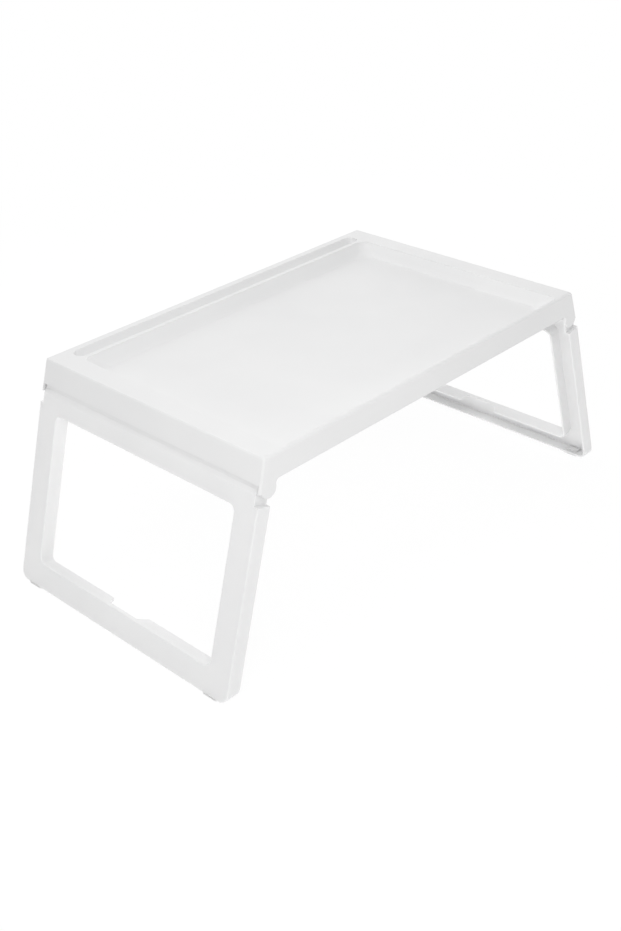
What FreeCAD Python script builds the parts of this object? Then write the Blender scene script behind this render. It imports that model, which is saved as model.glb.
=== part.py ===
import FreeCAD, Part
import math
import os

# Folding bed table: a moulded tray on two splayed frame legs that fold flat under it.
# Origin at the middle of the footprint on the floor, X along the tray, +Y to the slot side, +Z up.
# All lengths are in millimetres and the legs are open.

Vec = FreeCAD.Vector

# The open table
table_height = 266.0
rim_length = 534.0
rim_width = 356.0
splay_deg = 16.5
side_draft_deg = 2.5
cut_overrun = 5.0
match_tolerance = 0.001

# The tray
skirt_depth = 28.0
skirt_wall = 3.0
rim_thickness = 3.0
corner_radius = 3.0
hollow_corner_radius = 1.2
rim_edge_drop = 2.6
rim_edge_run = 1.4
front_edge_run = 4.0
end_rim = 27.0
front_rim = 5.5
back_rim = 10.5
slot_width = 19.0
slot_floor_width = 10.0
slot_depth = 13.0
slot_wall = 2.5
slot_lip = 6.0
recess_depth = 14.0
recess_edge_round = 1.0
end_wall_run = 14.0
front_wall_run = 12.0
back_wall_run = 16.0
recess_corner_radius = 9.0
floor_corner_radius = 18.0
floor_thickness = 2.5
wall_run_share = 0.84
floor_blend_share = 0.34
blend_steps = 4
round_steps = 3

# Stiffening ribs under the tray
rib_thickness = 2.0
rib_reach = 23.0
long_rib_count = 3
cross_rib_count = 5

# The hinges in the corner ears
hinge_inset = 12.0
leg_gap = 0.3
collar_gap = 0.4
neck_gap = 2.2
ear_radius = 10.6
ear_fillet = 5.0
ear_root = 4.0
ear_flange_drop = 8.8
pin_diameter = 7.0
pin_seat_depth = 2.2
pin_clearance = 0.05
pin_end_gap = 0.2
pin_chamfer = 0.6
boss_length = 12.0
boss_wall = 2.5

# The frame legs
leg_thickness = 18.0
leg_wall = 2.5
side_member = 32.0
window_drop = 28.2
bottom_member = 31.8
window_radius = 8.0
shoulder_drop = 19.6
ledge_low = 8.0
ledge_high = 2.0
neck_recess = 2.2
knuckle_lip = 3.0
leg_corner_radius = 12.0
leg_edge_round = 1.6
notch_floor_width = 46.0
notch_edge_width = 62.0
notch_depth = 12.0

# The foot pads
foot_height = 2.0
foot_length = 22.0
foot_edge_inset = 0.4
foot_corner_radius = 3.0
foot_chamfer = 0.7
foot_inset = 26.0
plug_length = 16.0
plug_width = 5.0
plug_head_width = 8.0
plug_head_height = 1.6

# Derived places
splay = math.radians(splay_deg)
end_slope = math.tan(splay)
side_slope = math.tan(math.radians(side_draft_deg))
leg_inner = leg_thickness - hinge_inset
skirt_bottom = table_height - skirt_depth
hinge_z = skirt_bottom - leg_gap - leg_inner
hinge_drop = table_height - hinge_z
hinge_x = rim_length / 2 + hinge_drop * end_slope - hinge_inset / math.cos(splay)
ear_depth = hinge_drop + ear_radius
leg_half_width = rim_width / 2 + ear_depth * side_slope
ear_inner = rim_width / 2 + skirt_depth * side_slope - skirt_wall
neck_half_width = ear_inner - neck_gap
window_half_width = leg_half_width - side_member
leg_bottom = (hinge_z - foot_height + hinge_inset * math.sin(splay)) / math.cos(splay)
window_bottom = leg_bottom - bottom_member
neck_face = hinge_inset - neck_recess
slot_back = rim_width / 2 - back_rim
slot_front = slot_back - slot_width
recess_back = slot_front - slot_lip
recess_front = -(rim_width / 2 - front_rim)
recess_half_length = rim_length / 2 - end_rim
leg_middle = (hinge_inset - leg_inner) / 2
foot_x = hinge_x + leg_middle / math.cos(splay) + (hinge_z - foot_height) * end_slope
foot_y = leg_half_width - foot_inset
foot_width = leg_thickness / math.cos(splay) - 2 * foot_edge_inset


def line(start, end):
    return Part.LineSegment(start, end).toShape()


def arc_about(centre, radius, start_deg, end_deg, place):
    """Arc edge between two angles; place turns an (across, up) pair into a point."""
    points = []
    for angle_deg in (start_deg, (start_deg + end_deg) / 2, end_deg):
        angle = math.radians(angle_deg)
        across = centre[0] + radius * math.cos(angle)
        up = centre[1] + radius * math.sin(angle)
        points.append(place(across, up))
    return Part.Arc(*points).toShape()


def rounded_rectangle(low, high, radius, place):
    """Wire of a rectangle with round corners; place turns an (across, up) pair into a point."""
    centres = [
        (high[0] - radius, high[1] - radius),
        (low[0] + radius, high[1] - radius),
        (low[0] + radius, low[1] + radius),
        (high[0] - radius, low[1] + radius),
    ]
    arcs = []
    for quarter, centre in enumerate(centres):
        arcs.append(arc_about(centre, radius, 90 * quarter, 90 * quarter + 90, place))
    edges = []
    for quarter, corner in enumerate(arcs):
        following = arcs[(quarter + 1) % len(arcs)]
        edges.append(corner)
        edges.append(line(corner.Vertexes[-1].Point, following.Vertexes[0].Point))
    return Part.Wire(edges)


def level(height):
    """Point maker for outlines that lie level at a height."""
    return lambda across, up: Vec(across, up, height)


def upright(x):
    """Point maker for outlines that stand across the leg, at a distance along X."""
    return lambda across, up: Vec(x, across, up)


def profile(y):
    """Point maker for side outlines at a distance along Y."""
    return lambda across, up: Vec(across, y, up)


def polygon(points):
    return Part.makePolygon(points + points[:1])


def profile_prism(points, y_low, y_high):
    """Prism along Y from the (x, z) corners of its side outline."""
    place = profile(y_low)
    wire = polygon([place(*point) for point in points])
    return Part.Face(wire).extrude(Vec(0, y_high - y_low, 0))


def box(low, high):
    return Part.makeBox(high[0] - low[0], high[1] - low[1], high[2] - low[2], Vec(*low))


def ruled_solid(wires):
    return Part.makeLoft(wires, True, True)


def fused(shapes):
    return shapes[0].fuse(shapes[1:]).removeSplitter()


# Tray


def tray_outline(depth, end_inset, front_inset, back_inset, radius):
    """Level outline of the flared tray at a depth below the rim."""
    half_length = rim_length / 2 + depth * end_slope - end_inset
    half_width = rim_width / 2 + depth * side_slope
    low = (-half_length, front_inset - half_width)
    high = (half_length, half_width - back_inset)
    return rounded_rectangle(low, high, radius, level(table_height - depth))


def tray_body(depth):
    """Solid flared tray from its rounded rim edge, fullest along the front, down to a depth."""
    wires = []
    for step in range(round_steps + 1):
        angle = math.pi / 2 * step / round_steps
        drop = rim_edge_drop * (1 - math.cos(angle))
        inset = rim_edge_run * (1 - math.sin(angle))
        front_inset = front_edge_run * (1 - math.sin(angle))
        wires.append(tray_outline(drop, inset, front_inset, inset, corner_radius - inset))
    wires.append(tray_outline(depth, 0, 0, 0, corner_radius))
    return ruled_solid(wires)


def recess_outline(depth, end_run, front_run, back_run, radius):
    """Level outline inside the rim, drawn in from the rim's inner edge by the given runs."""
    low = (-recess_half_length + end_run, recess_front + front_run)
    high = (recess_half_length - end_run, recess_back - back_run)
    return rounded_rectangle(low, high, radius, level(table_height - depth))


def recess_section(run_share, depth):
    radius = recess_corner_radius + (floor_corner_radius - recess_corner_radius) * run_share
    runs = [run * run_share for run in (end_wall_run, front_wall_run, back_wall_run)]
    return recess_outline(depth, *runs, radius)


def recess_cut():
    """The dished tray space: rounded top edge, sloping walls, then a blend into the flat floor."""
    wires = []
    top = recess_outline(-cut_overrun, *[-recess_edge_round] * 3, recess_corner_radius + recess_edge_round)
    wires.append(top)
    for step in range(round_steps + 1):
        angle = math.pi / 2 * step / round_steps
        drop = recess_edge_round * (1 - math.cos(angle))
        spread = recess_edge_round * (1 - math.sin(angle))
        wires.append(recess_outline(drop, *[-spread] * 3, recess_corner_radius + spread))
    wall_depth = recess_depth - recess_edge_round
    start = 1 - floor_blend_share
    for step in range(blend_steps + 1):
        along = step / blend_steps
        before = (1 - along) ** 2
        between = 2 * along * (1 - along)
        after = along ** 2
        run_share = wall_run_share * (before * start + between) + after
        depth_share = before * start + between + after
        wires.append(recess_section(run_share, recess_edge_round + wall_depth * depth_share))
    return ruled_solid(wires)


def recess_bowl():
    """The dish with its wall and floor thickness, from the rim's underside to the floor's."""
    wires = []
    for depth in (rim_thickness, recess_depth + floor_thickness):
        runs = []
        for run in (end_wall_run, front_wall_run, back_wall_run):
            lean = wall_run_share * run / recess_depth
            runs.append(lean * depth - floor_thickness * math.hypot(1, lean))
        wires.append(recess_outline(depth, *runs, recess_corner_radius + floor_thickness))
    return ruled_solid(wires)


def slot_outline(depth, width, spread):
    """Round-ended outline of the tablet slot at a depth and width; its front side stays upright."""
    radius = width / 2 + spread
    middle = slot_front + width / 2
    reach = recess_half_length - slot_width / 2
    place = level(table_height - depth)
    right = arc_about((reach, middle), radius, -90, 90, place)
    left = arc_about((-reach, middle), radius, 90, 270, place)
    back = line(right.Vertexes[-1].Point, left.Vertexes[0].Point)
    front = line(left.Vertexes[-1].Point, right.Vertexes[0].Point)
    return Part.Wire([right, back, left, front])


def slot_cut():
    """The tablet slot: an upright front, and a back that leans away so that a tablet can lean on it."""
    tops = [slot_outline(depth, slot_width, 0) for depth in (-cut_overrun, 0)]
    return ruled_solid(tops + [slot_outline(slot_depth, slot_floor_width, 0)])


def slot_trough():
    """The slot's walls and floor before the slot is cut."""
    floor = slot_outline(slot_depth + slot_wall, slot_floor_width, slot_wall)
    return ruled_solid([slot_outline(0, slot_width, slot_wall), floor])


def rib_walls():
    """Thin walls under the floor, spread evenly along and across the tray."""
    low = table_height - rib_reach
    half_length = rim_length / 2 + skirt_depth * end_slope
    half_width = rim_width / 2 + skirt_depth * side_slope
    half_rib = rib_thickness / 2
    walls = []
    for rib in range(long_rib_count):
        middle = recess_front + (recess_back - recess_front) * (rib + 1) / (long_rib_count + 1)
        start = (-half_length, middle - half_rib, low)
        walls.append(box(start, (half_length, middle + half_rib, table_height)))
    for rib in range(cross_rib_count):
        middle = recess_half_length * (2 * (rib + 1) / (cross_rib_count + 1) - 1)
        start = (middle - half_rib, -half_width, low)
        walls.append(box(start, (middle + half_rib, half_width, table_height)))
    return walls


def tray_hollow():
    """The space under the rim and floor, inside the skirts, with the ribs left standing in it."""
    end_wall = skirt_wall / math.cos(splay)
    wires = []
    for depth in (rim_thickness, skirt_depth + cut_overrun):
        wires.append(tray_outline(depth, end_wall, skirt_wall, skirt_wall, hollow_corner_radius))
    return ruled_solid(wires).cut([recess_bowl(), slot_trough()] + rib_walls())


def ear_outline(y):
    """Side outline of a right-hand ear: hollow fillet, round lug, then a shorter flange to the outside."""
    place = profile(y)
    fillet_z = skirt_bottom - ear_fillet
    reach = ear_radius + ear_fillet
    fillet_x = hinge_x - math.sqrt(reach ** 2 - (fillet_z - hinge_z) ** 2)
    join_deg = math.degrees(math.atan2(fillet_z - hinge_z, fillet_x - hinge_x))
    hollow = arc_about((fillet_x, fillet_z), ear_fillet, 90, join_deg - 180, place)
    flange_z = skirt_bottom - ear_flange_drop
    flange_deg = math.degrees(math.asin((flange_z - hinge_z) / ear_radius))
    lug = arc_about((hinge_x, hinge_z), ear_radius, join_deg, 360 + flange_deg, place)
    lug_end = lug.Vertexes[-1].Point
    outer_x = hinge_x + hinge_inset + ear_radius
    corners = [
        lug_end,
        Vec(outer_x, y, flange_z),
        Vec(outer_x, y, skirt_bottom + ear_root),
        Vec(fillet_x, y, skirt_bottom + ear_root),
        hollow.Vertexes[0].Point,
    ]
    edges = [hollow, lug]
    for start, end in zip(corners, corners[1:]):
        edges.append(line(start, end))
    return Part.Face(Part.Wire(edges))


def both_ends(shape):
    turned = shape.copy()
    turned.rotate(Vec(0, 0, 0), Vec(0, 0, 1), 180)
    return [shape, turned]


def hinge_ears():
    """The four ears: lugs cut to the flared outside of the tray, each with a blind pin hole."""
    reach = leg_half_width + cut_overrun - ear_inner
    hole_radius = pin_diameter / 2 + pin_clearance
    right = []
    for start, way in ((ear_inner, 1), (-ear_inner, -1)):
        lug = ear_outline(start).extrude(Vec(0, way * reach, 0))
        axis_point = Vec(hinge_x, start - way * cut_overrun, hinge_z)
        hole = Part.makeCylinder(hole_radius, cut_overrun + pin_seat_depth, axis_point, Vec(0, way, 0))
        right.append(lug.cut(hole))
    body = tray_body(ear_depth + cut_overrun)
    ears = []
    for lug in right:
        for placed in both_ends(lug):
            ears.append(body.common(placed))
    return ears


def tray_top():
    shell = tray_body(skirt_depth).cut([tray_hollow(), recess_cut(), slot_cut()])
    return fused([shell] + hinge_ears())


# Legs, drawn about the hinge axis: X out of the outer face, Z up along the leg


def level_z(out, height):
    """Place along the leg where a line at a distance out from the hinge axis meets a level height."""
    return (height - hinge_z - out * math.sin(splay)) / math.cos(splay)


def frame_block(wall, outer, inner):
    """Lower frame between an outer and an inner face, with rounded bottom corners, walls taken off."""
    top = -shoulder_drop - wall
    floor = foot_height + wall
    points = [(outer, top), (outer, level_z(outer, floor)), (inner, level_z(inner, floor)), (inner, top)]
    half_width = leg_half_width - wall
    block = profile_prism(points, -half_width, half_width)
    lowest = level_z(outer, floor)
    corners = []
    for edge in block.Edges:
        middle = edge.CenterOfMass
        at_side = abs(abs(middle.y) - half_width) < match_tolerance
        across = edge.BoundBox.XLength > leg_thickness / 2
        if at_side and across and middle.z < lowest + leg_corner_radius:
            corners.append(edge)
    return block.makeFillet(leg_corner_radius - wall, corners)


def knuckle_solid(points, radius, start_deg, end_deg, half_width):
    """Prism along Y: straight corners, closed by an arc over the top about the hinge axis."""
    place = profile(-half_width)
    over = arc_about((0, 0), radius, start_deg, end_deg, place)
    corners = [over.Vertexes[-1].Point] + [place(*point) for point in points]
    corners.append(over.Vertexes[0].Point)
    edges = [over]
    for start, end in zip(corners, corners[1:]):
        edges.append(line(start, end))
    return Part.Face(Part.Wire(edges)).extrude(Vec(0, 2 * half_width, 0))


def neck_block():
    """Neck between the ears: knuckle about the hinge axis, flat stop under the skirt, sloping ledge."""
    foot = -shoulder_drop - leg_wall
    stop_height = skirt_bottom - leg_gap
    points = [
        (-leg_inner, foot),
        (hinge_inset, foot),
        (hinge_inset, -ledge_low),
        (neck_face, -ledge_high),
        (neck_face, level_z(neck_face, stop_height)),
    ]
    return knuckle_solid(points, leg_inner, 90 - splay_deg, 180, neck_half_width)


def neck_pocket():
    """Inside of the neck channel, open to the inner side below the knuckle's lip."""
    radius = leg_inner - leg_wall
    skin = hinge_inset - leg_wall
    neck_skin = neck_face - leg_wall
    outside = -leg_inner - cut_overrun
    foot = -shoulder_drop - 2 * leg_wall
    points = [
        (-radius, -knuckle_lip),
        (outside, -knuckle_lip),
        (outside, foot),
        (skin, foot),
        (skin, -ledge_low - leg_wall),
        (neck_skin, -ledge_high - leg_wall),
        (neck_skin, level_z(neck_skin, hinge_z + radius)),
    ]
    return knuckle_solid(points, radius, 90 - splay_deg, 180, neck_half_width - leg_wall)


def window_block(wall):
    """Block through the leg's window, or of the flange round it when spread by the wall."""
    low = (-window_half_width - wall, -window_bottom - wall)
    high = (window_half_width + wall, -window_drop + wall)
    start = -leg_inner - cut_overrun
    wire = rounded_rectangle(low, high, window_radius + wall, upright(start))
    return Part.Face(wire).extrude(Vec(leg_thickness + 2 * cut_overrun, 0, 0))


def notch_block():
    """Finger notch in the flange under the window: wide at its free edge, narrower at its floor."""
    floor = notch_depth - leg_inner
    lean = (notch_edge_width - notch_floor_width) / 2 / notch_depth
    outside = -leg_inner - cut_overrun
    floor_half = notch_floor_width / 2
    outside_half = floor_half + lean * (floor - outside)
    low = -window_bottom - leg_wall - cut_overrun
    corners = [(floor, floor_half), (floor, -floor_half), (outside, -outside_half), (outside, outside_half)]
    wire = polygon([Vec(x, y, low) for x, y in corners])
    return Part.Face(wire).extrude(Vec(0, 0, leg_wall + 2 * cut_overrun))


def end_cylinders(radius, reach_out):
    """A cylinder about the hinge axis at each end of the neck, from the boss's root to a reach beyond."""
    cylinders = []
    for way in (1, -1):
        start = Vec(0, way * (neck_half_width - boss_length), 0)
        cylinders.append(Part.makeCylinder(radius, boss_length + reach_out, start, Vec(0, way, 0)))
    return cylinders


def round_outer_edges(leg):
    """Soften the edges round the outer face and the window where they lie in that face."""
    edges = []
    for edge in leg.Edges:
        bounds = edge.BoundBox
        in_face = bounds.XMin > hinge_inset - match_tolerance
        in_frame = bounds.ZMax < -shoulder_drop + match_tolerance
        if in_face and in_frame and bounds.ZMin < -shoulder_drop - leg_wall:
            edges.append(edge)
    return leg.makeFillet(leg_edge_round, edges)


def leg_frame():
    """One moulded channel-section frame leg."""
    outside = -leg_inner - cut_overrun
    block = fused([frame_block(0, hinge_inset, -leg_inner), neck_block()])
    pocket = frame_block(leg_wall, hinge_inset - leg_wall, outside).fuse(neck_pocket())
    bosses = end_cylinders(pin_diameter / 2 + boss_wall, neck_gap - collar_gap)
    channel = pocket.cut([window_block(leg_wall)] + bosses)
    bores = end_cylinders(pin_diameter / 2, neck_gap)
    leg = fused([block.cut([channel, window_block(0), notch_block()])] + bosses)
    return round_outer_edges(leg.cut(bores))


def on_hinge(shape):
    """Lean a shape drawn about the hinge axis by the splay and set it at the right-hand hinge."""
    placed = shape.copy()
    placed.rotate(Vec(0, 0, 0), Vec(0, 1, 0), -splay_deg)
    placed.translate(Vec(hinge_x, 0, hinge_z))
    return placed


def plug_block(length, width, low, high, y):
    half = (width / 2, length / 2)
    return box((foot_x - half[0], y - half[1], low), (foot_x + half[0], y + half[1], high))


def right_leg():
    """The leg in place, with a slot through its bottom wall for each foot pad's plug."""
    leg = on_hinge(leg_frame())
    slots = []
    for y in (-foot_y, foot_y):
        slots.append(plug_block(plug_length, plug_width, 0, foot_height + leg_wall + cut_overrun, y))
    return leg.cut(slots)


# Small pieces


def hinge_pin(way):
    """Pin pressed into the neck's boss, its chamfered free end in the ear's blind hole."""
    start = way * (neck_half_width - boss_length)
    length = boss_length + neck_gap + pin_seat_depth - pin_end_gap
    pin = Part.makeCylinder(pin_diameter / 2, length, Vec(hinge_x, start, hinge_z), Vec(0, way, 0))
    free_rim = [edge for edge in pin.Edges if edge.isClosed() and abs(edge.CenterOfMass.y) > neck_half_width]
    return pin.makeChamfer(pin_chamfer, free_rim)


def foot_pad(way):
    """Soft pad under the leg's bottom wall, held by a plug with a wider head above the wall."""
    y = way * foot_y
    low = (foot_x - foot_width / 2, y - foot_length / 2)
    high = (foot_x + foot_width / 2, y + foot_length / 2)
    outline = rounded_rectangle(low, high, foot_corner_radius, level(0))
    pad = Part.Face(outline).extrude(Vec(0, 0, foot_height))
    sole = [edge for edge in pad.Edges if edge.BoundBox.ZMax < foot_height / 2]
    pad = pad.makeChamfer(foot_chamfer, sole)
    wall_top = foot_height + leg_wall
    stem = plug_block(plug_length, plug_width, foot_height, wall_top, y)
    head = plug_block(plug_length, plug_head_width, wall_top, wall_top + plug_head_height, y)
    return fused([pad, stem, head])


def write(shape, name):
    solid = shape.Solids[0]
    print(name, "solids", len(shape.Solids), "valid", shape.isValid(), "volume", round(solid.Volume))
    solid.exportStep(os.path.join("parts", name + ".step"))


os.makedirs("parts", exist_ok=True)
write(tray_top(), "tray_top")
right_pieces = {"leg": right_leg()}
for row, way in (("front", -1), ("back", 1)):
    right_pieces[row + "_pin"] = hinge_pin(way)
    right_pieces[row + "_foot"] = foot_pad(way)
for piece, shape in right_pieces.items():
    write(shape, "right_" + piece)
    mirrored = shape.mirror(Vec(0, 0, 0), Vec(1, 0, 0))
    write(mirrored, "left_" + piece)
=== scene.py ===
import bpy
import numpy as np
from mathutils import Matrix, Vector

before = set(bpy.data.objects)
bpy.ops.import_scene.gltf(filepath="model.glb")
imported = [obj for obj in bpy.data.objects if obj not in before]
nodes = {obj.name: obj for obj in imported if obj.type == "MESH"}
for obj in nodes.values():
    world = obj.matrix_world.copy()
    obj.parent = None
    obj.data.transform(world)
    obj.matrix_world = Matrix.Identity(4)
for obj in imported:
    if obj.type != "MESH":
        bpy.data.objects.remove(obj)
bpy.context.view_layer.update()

# Tray top.
# One injection moulding in white polypropylene: the dished tray, its skirts, the tablet slot and
# the four hinge ears. The mould is spark-eroded, which leaves a fine satin grain all over.

tray_white = (0.84, 0.84, 0.84)
tray_tint = (0.812, 0.812, 0.814)
tray_roughness = (0.54, 0.66)
tray_grain_depth = 0.00004
plastic_ior = 1.49
plastic_gloss = 0.35
grain_per_metre = 1900.0
fine_grain_detail = 1.0
coarse_grain_detail = 2.0
coarse_grain_share = 0.31
fine_height_share = 0.6
cloud_per_metre = 7.0
cloud_detail = 3.0
cloud_raggedness = 0.55
cloud_span = (0.32, 0.68)
haze_per_metre = 55.0
haze_detail = 4.0
haze_raggedness = 0.6
haze_span = (0.3, 0.7)
rub_stretch = (9.0, 900.0, 900.0)
rub_detail = 2.0
rub_crests = (0.66, 0.74)
rub_patch_per_metre = 14.0
rub_patch_fade = 0.12
rub_polish = 0.12
tray_skin = {"Grains": grain_per_metre}
tray_rubs = {"Turn": 0.6, "Patch": 0.55}

# The names of a Mix node's colour sockets repeat, so these go by number.
first_colour = 6
second_colour = 7
mixed_colour = 2


def add_node(tree, kind, **inputs):
    """New node of a kind, with plain values set on the named input sockets."""
    node = tree.nodes.new(kind)
    for name, value in inputs.items():
        node.inputs[name.replace("_", " ")].default_value = value
    return node


def new_group(name, inputs, outputs):
    """Shader node group with a Place input, float inputs given as name: default, and float outputs."""
    group = bpy.data.node_groups.new(name, "ShaderNodeTree")
    group.interface.new_socket("Place", in_out="INPUT", socket_type="NodeSocketVector")
    for label, default in inputs.items():
        socket = group.interface.new_socket(label, in_out="INPUT", socket_type="NodeSocketFloat")
        socket.default_value = default
    for label in outputs:
        group.interface.new_socket(label, in_out="OUTPUT", socket_type="NodeSocketFloat")
    return group, group.nodes.new("NodeGroupInput"), group.nodes.new("NodeGroupOutput")


def noise(tree, place, scale, detail, roughness=0.5):
    """Noise texture value over a place; scale is a number or a socket."""
    node = add_node(tree, "ShaderNodeTexNoise", Detail=detail, Roughness=roughness)
    tree.links.new(place, node.inputs["Vector"])
    if isinstance(scale, float):
        node.inputs["Scale"].default_value = scale
    else:
        tree.links.new(scale, node.inputs["Scale"])
    return node.outputs["Fac"]


def remap(tree, value, low, high, to_low=0.0, to_high=1.0):
    """Straight-line map of low..high to to_low..to_high, held at both ends."""
    node = add_node(tree, "ShaderNodeMapRange")
    limits = {"From Min": low, "From Max": high, "To Min": to_low, "To Max": to_high}
    for label, number in limits.items():
        node.inputs[label].default_value = number
    tree.links.new(value, node.inputs["Value"])
    return node.outputs["Result"]


def math_node(tree, operation, first, second):
    """Result of a math operation between two sockets, or a socket and a number."""
    node = tree.nodes.new("ShaderNodeMath")
    node.operation = operation
    for socket, value in zip(node.inputs, (first, second)):
        if isinstance(value, (int, float)):
            socket.default_value = value
        else:
            tree.links.new(value, socket)
    return node.outputs["Value"]


def moulded_skin_group():
    """Spark grain for the bump, slow clouds for the tone, and a haze that varies the gloss."""
    inputs = {"Grains": grain_per_metre, "Clouds": cloud_per_metre, "Haze": haze_per_metre}
    group, given, result = new_group("moulded_skin", inputs, ("Height", "Tone", "Gloss"))
    place = given.outputs["Place"]
    coarse_grains = math_node(group, "MULTIPLY", given.outputs["Grains"], coarse_grain_share)
    fine = noise(group, place, given.outputs["Grains"], fine_grain_detail)
    coarse = noise(group, place, coarse_grains, coarse_grain_detail)
    fine_height = math_node(group, "MULTIPLY", fine, fine_height_share)
    coarse_height = math_node(group, "MULTIPLY", coarse, 1.0 - fine_height_share)
    group.links.new(math_node(group, "ADD", fine_height, coarse_height), result.inputs["Height"])
    clouds = noise(group, place, given.outputs["Clouds"], cloud_detail, cloud_raggedness)
    group.links.new(remap(group, clouds, *cloud_span), result.inputs["Tone"])
    haze = noise(group, place, given.outputs["Haze"], haze_detail, haze_raggedness)
    group.links.new(remap(group, haze, *haze_span), result.inputs["Gloss"])
    return group


def rub_marks_group():
    """Sparse hair-fine rubbing lines: noise drawn out along one way, cut to its crests, in patches."""
    inputs = {"Turn": 0.0, "Patch": 0.5}
    group, given, result = new_group("rub_marks", inputs, ("Mark",))
    turn = group.nodes.new("ShaderNodeVectorRotate")
    turn.rotation_type = "Z_AXIS"
    group.links.new(given.outputs["Place"], turn.inputs["Vector"])
    group.links.new(given.outputs["Turn"], turn.inputs["Angle"])
    stretch = add_node(group, "ShaderNodeMapping")
    stretch.inputs["Scale"].default_value = rub_stretch
    group.links.new(turn.outputs["Vector"], stretch.inputs["Vector"])
    lines = remap(group, noise(group, stretch.outputs["Vector"], 1.0, rub_detail), *rub_crests)
    patches = noise(group, given.outputs["Place"], rub_patch_per_metre, rub_detail)
    inside = math_node(group, "SUBTRACT", patches, given.outputs["Patch"])
    shown = math_node(group, "MULTIPLY", lines, remap(group, inside, 0.0, rub_patch_fade))
    group.links.new(shown, result.inputs["Mark"])
    return group


skin_group = moulded_skin_group()
rub_group = rub_marks_group()


def place_group(tree, group, place, values):
    """A group node in a material, fed with the surface's place and its own values."""
    node = tree.nodes.new("ShaderNodeGroup")
    node.node_tree = group
    tree.links.new(place, node.inputs["Place"])
    for label, number in values.items():
        node.inputs[label].default_value = number
    return node


def moulded_plastic(name, white, tint, roughness, grain_depth, skin, rubs):
    """Satin moulded surface: tone clouds between two whites, grain bump, haze and rub marks."""
    material = bpy.data.materials.new(name)
    material.use_nodes = True
    tree = material.node_tree
    shader = tree.nodes["Principled BSDF"]
    shader.inputs["IOR"].default_value = plastic_ior
    shader.inputs["Specular IOR Level"].default_value = plastic_gloss
    place = tree.nodes.new("ShaderNodeTexCoord").outputs["Object"]
    skin_node = place_group(tree, skin_group, place, skin)
    rub_node = place_group(tree, rub_group, place, rubs)
    tone = tree.nodes.new("ShaderNodeMix")
    tone.data_type = "RGBA"
    tone.inputs[first_colour].default_value = (*tint, 1.0)
    tone.inputs[second_colour].default_value = (*white, 1.0)
    tree.links.new(skin_node.outputs["Tone"], tone.inputs["Factor"])
    tree.links.new(tone.outputs[mixed_colour], shader.inputs["Base Color"])
    gloss = remap(tree, skin_node.outputs["Gloss"], 0.0, 1.0, *roughness)
    rubbed = math_node(tree, "MULTIPLY", rub_node.outputs["Mark"], rub_polish)
    tree.links.new(math_node(tree, "SUBTRACT", gloss, rubbed), shader.inputs["Roughness"])
    bump = add_node(tree, "ShaderNodeBump", Strength=1.0, Distance=grain_depth)
    tree.links.new(skin_node.outputs["Height"], bump.inputs["Height"])
    tree.links.new(bump.outputs["Normal"], shader.inputs["Normal"])
    return material


def dress(material, *names):
    """Give CAD nodes a material in place of the one they were packed with."""
    for name in names:
        nodes[name].data.materials.clear()
        nodes[name].data.materials.append(material)


tray_plastic = moulded_plastic(
    "tray_plastic", tray_white, tray_tint, tray_roughness, tray_grain_depth, tray_skin, tray_rubs
)
dress(tray_plastic, "tray_top")

# Legs.
# Two channel-section frame legs in the same white plastic, from a smoother mould, so a little
# glossier. Their thin walls let some light through, and they hang on pins in the ears.

leg_white = (0.82, 0.82, 0.82)
leg_tint = (0.797, 0.797, 0.799)
leg_roughness = (0.46, 0.58)
leg_grain_depth = 0.00003
leg_skin = {"Grains": 2300.0, "Clouds": 9.0}
leg_rubs = {"Turn": 1.4, "Patch": 0.6}
leg_bleed = 0.7
leg_bleed_depth = 0.005
leg_bleed_spread = (1.0, 1.0, 1.0)

leg_plastic = moulded_plastic(
    "leg_plastic", leg_white, leg_tint, leg_roughness, leg_grain_depth, leg_skin, leg_rubs
)
leg_shader = leg_plastic.node_tree.nodes["Principled BSDF"]
leg_shader.inputs["Subsurface Weight"].default_value = leg_bleed
leg_shader.inputs["Subsurface Radius"].default_value = leg_bleed_spread
leg_shader.inputs["Subsurface Scale"].default_value = leg_bleed_depth
dress(leg_plastic, "left_leg", "right_leg")

# Hinge pins.
# Short turned acetal pins, pressed into the bosses of the legs and running in the ears.
# Only slivers of them show in the gaps between ear and neck.

pin_white = (0.74, 0.74, 0.74)
pin_tint = (0.72, 0.72, 0.72)
pin_roughness = (0.22, 0.32)
pin_grain_depth = 0.00001
pin_skin = {"Grains": 3000.0, "Clouds": 40.0}
pin_rubs = {"Turn": 0.0, "Patch": 0.6}

pin_plastic = moulded_plastic(
    "pin_plastic", pin_white, pin_tint, pin_roughness, pin_grain_depth, pin_skin, pin_rubs
)
dress(pin_plastic, "left_front_pin", "left_back_pin", "right_front_pin", "right_back_pin")

# Foot pads.
# Low pads in soft pale rubber under the corners of the legs, held by a plug through the wall.
# The rubber is about as white as the plastic, and duller.

foot_white = (0.82, 0.82, 0.82)
foot_tint = (0.79, 0.79, 0.79)
foot_roughness = (0.62, 0.78)
foot_grain_depth = 0.00006
foot_skin = {"Grains": 1400.0, "Clouds": 60.0}
foot_rubs = {"Turn": 0.0, "Patch": 0.5}

foot_rubber = moulded_plastic(
    "foot_rubber", foot_white, foot_tint, foot_roughness, foot_grain_depth, foot_skin, foot_rubs
)
dress(foot_rubber, "left_front_foot", "left_back_foot", "right_front_foot", "right_back_foot")

# Floor, light and camera.
# A white studio sweep: the floor shows as white, with a faint shadow near the table. Soft light
# comes from all round, with lamps at the front left, above, behind and low at the right.

floor_half = 7.0
floor_drop = 0.0004
white_share_near = 0.8
near_radius = 0.55
white_radius = 1.4
floor_matte = 0.4
floor_glow = 0.78
floor_glow_seen = 0.66
ambient_strength = 0.48


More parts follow.
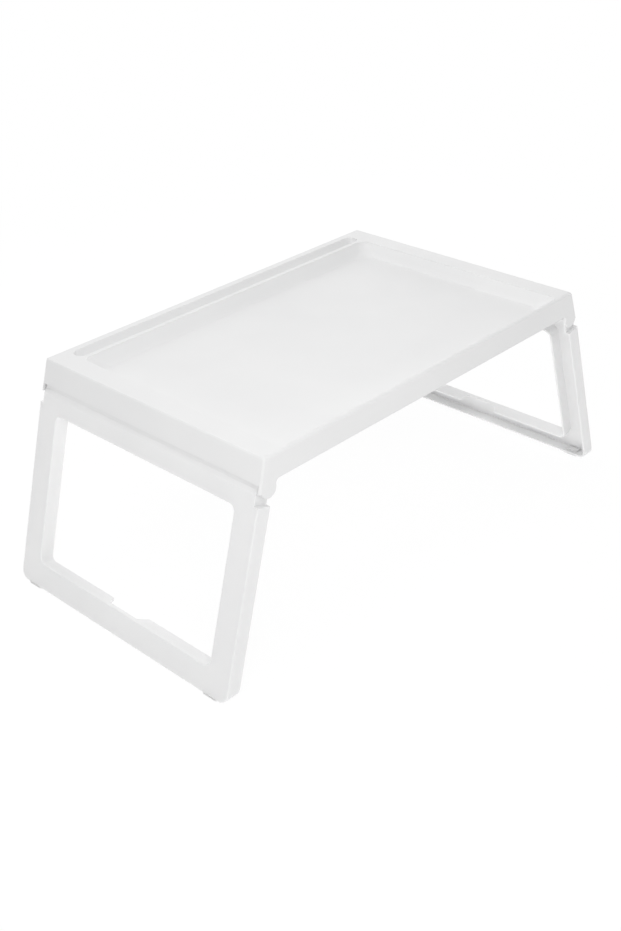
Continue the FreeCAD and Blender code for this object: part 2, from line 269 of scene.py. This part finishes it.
def seen_directly(tree):
    """1 where a camera, glossy or transmission ray meets the surface, else 0."""
    path = tree.nodes.new("ShaderNodeLightPath")
    either = math_node(tree, "MAXIMUM", path.outputs["Is Camera Ray"], path.outputs["Is Glossy Ray"])
    return math_node(tree, "MAXIMUM", either, path.outputs["Is Transmission Ray"])


floor_corners = floor_half * np.array([[-1, -1], [1, -1], [1, 1], [-1, 1]])
floor_mesh = bpy.data.meshes.new("floor")
floor_mesh.from_pydata([(x, y, -floor_drop) for x, y in floor_corners], [], [(0, 1, 2, 3)])
floor = bpy.data.objects.new("floor", floor_mesh)
bpy.context.scene.collection.objects.link(floor)
floor_paint = bpy.data.materials.new("floor_paint")
floor_paint.use_nodes = True
floor_tree = floor_paint.node_tree
floor_tree.nodes.clear()
floor_out = floor_tree.nodes.new("ShaderNodeOutputMaterial")
matte = add_node(floor_tree, "ShaderNodeBsdfDiffuse")
matte.inputs["Color"].default_value = (floor_matte, floor_matte, floor_matte, 1.0)
glow = floor_tree.nodes.new("ShaderNodeEmission")
seen = seen_directly(floor_tree)
glow_strength = remap(floor_tree, seen, 0.0, 1.0, floor_glow, floor_glow_seen)
floor_tree.links.new(glow_strength, glow.inputs["Strength"])
lit_floor = floor_tree.nodes.new("ShaderNodeAddShader")
floor_tree.links.new(matte.outputs["BSDF"], lit_floor.inputs[0])
floor_tree.links.new(glow.outputs["Emission"], lit_floor.inputs[1])
white = add_node(floor_tree, "ShaderNodeEmission", Strength=1.0)
floor_mix = floor_tree.nodes.new("ShaderNodeMixShader")
radius = floor_tree.nodes.new("ShaderNodeVectorMath")
radius.operation = "LENGTH"
floor_place = floor_tree.nodes.new("ShaderNodeTexCoord").outputs["Object"]
floor_tree.links.new(floor_place, radius.inputs[0])
away = radius.outputs["Value"]
white_share = remap(floor_tree, away, near_radius, white_radius, white_share_near, 1.0)
floor_tree.links.new(math_node(floor_tree, "MULTIPLY", seen, white_share), floor_mix.inputs["Fac"])
floor_tree.links.new(lit_floor.outputs["Shader"], floor_mix.inputs[1])
floor_tree.links.new(white.outputs["Emission"], floor_mix.inputs[2])
floor_tree.links.new(floor_mix.outputs["Shader"], floor_out.inputs["Surface"])
floor_mesh.materials.append(floor_paint)

world = bpy.data.worlds.new("studio")
world.use_nodes = True
bpy.context.scene.world = world
sky = world.node_tree
sky.nodes.clear()
sky_out = sky.nodes.new("ShaderNodeOutputWorld")
ambient = add_node(sky, "ShaderNodeBackground", Strength=ambient_strength)
ambient.inputs["Color"].default_value = (1.0, 1.0, 1.0, 1.0)
backdrop = add_node(sky, "ShaderNodeBackground", Strength=1.0)
backdrop.inputs["Color"].default_value = (1.0, 1.0, 1.0, 1.0)
sky_mix = sky.nodes.new("ShaderNodeMixShader")
sky.links.new(seen_directly(sky), sky_mix.inputs["Fac"])
sky.links.new(ambient.outputs["Background"], sky_mix.inputs[1])
sky.links.new(backdrop.outputs["Background"], sky_mix.inputs[2])
sky.links.new(sky_mix.outputs["Shader"], sky_out.inputs["Surface"])

light_target = Vector((0.0, 0.0, 0.2))
lamps = {
    "key_light": ((-0.75, -0.75, 1.0), 0.6, 4.6),
    "top_light": ((0.0, 0.0, 1.9), 1.0, 7.1),
    "back_light": ((0.0, 1.5, 1.2), 1.0, 6.2),
    "side_light": ((1.3, 0.9, 0.45), 0.6, 2.8),
}


def area_light(name, place, size, energy):
    """Square soft light that faces the table."""
    data = bpy.data.lights.new(name, "AREA")
    data.shape = "SQUARE"
    data.size = size
    data.energy = energy
    lamp = bpy.data.objects.new(name, data)
    lamp.location = place
    lamp.rotation_euler = (light_target - Vector(place)).to_track_quat("-Z", "Y").to_euler()
    bpy.context.scene.collection.objects.link(lamp)


for lamp_name, (lamp_place, lamp_size, lamp_energy) in lamps.items():
    area_light(lamp_name, lamp_place, lamp_size, lamp_energy)

bpy.context.scene.view_settings.view_transform = "Standard"

camera_azimuth = np.radians(-45.447)
camera_elevation = np.radians(30.052)
camera_roll = np.radians(-2.181)
camera_distance = 1.532083
camera_target = np.array([-0.071462, -0.052033, 0.136])
focal_pixels = 1298.568
centre_pixels = (312.791, 456.005)
image_pixels = (621, 931)
sensor_height = 36.0

behind = np.array([
    np.sin(camera_azimuth) * np.cos(camera_elevation),
    -np.cos(camera_azimuth) * np.cos(camera_elevation),
    np.sin(camera_elevation),
])
level_right = np.cross(-behind, (0.0, 0.0, 1.0))
level_right /= np.linalg.norm(level_right)
level_up = np.cross(level_right, -behind)
right = np.cos(camera_roll) * level_right + np.sin(camera_roll) * level_up
up = np.cos(camera_roll) * level_up - np.sin(camera_roll) * level_right
pose = np.eye(4)
pose[:3, 0] = right
pose[:3, 1] = up
pose[:3, 2] = behind
pose[:3, 3] = camera_target + behind * camera_distance
camera_data = bpy.data.cameras.new("camera")
camera_data.sensor_fit = "VERTICAL"
camera_data.sensor_height = sensor_height
camera_data.lens = focal_pixels * sensor_height / image_pixels[1]
camera_data.shift_x = (image_pixels[0] / 2 - centre_pixels[0]) / image_pixels[1]
camera_data.shift_y = (centre_pixels[1] - image_pixels[1] / 2) / image_pixels[1]
camera = bpy.data.objects.new("camera", camera_data)
camera.matrix_world = Matrix(pose.tolist())
bpy.context.scene.collection.objects.link(camera)
bpy.context.scene.camera = camera
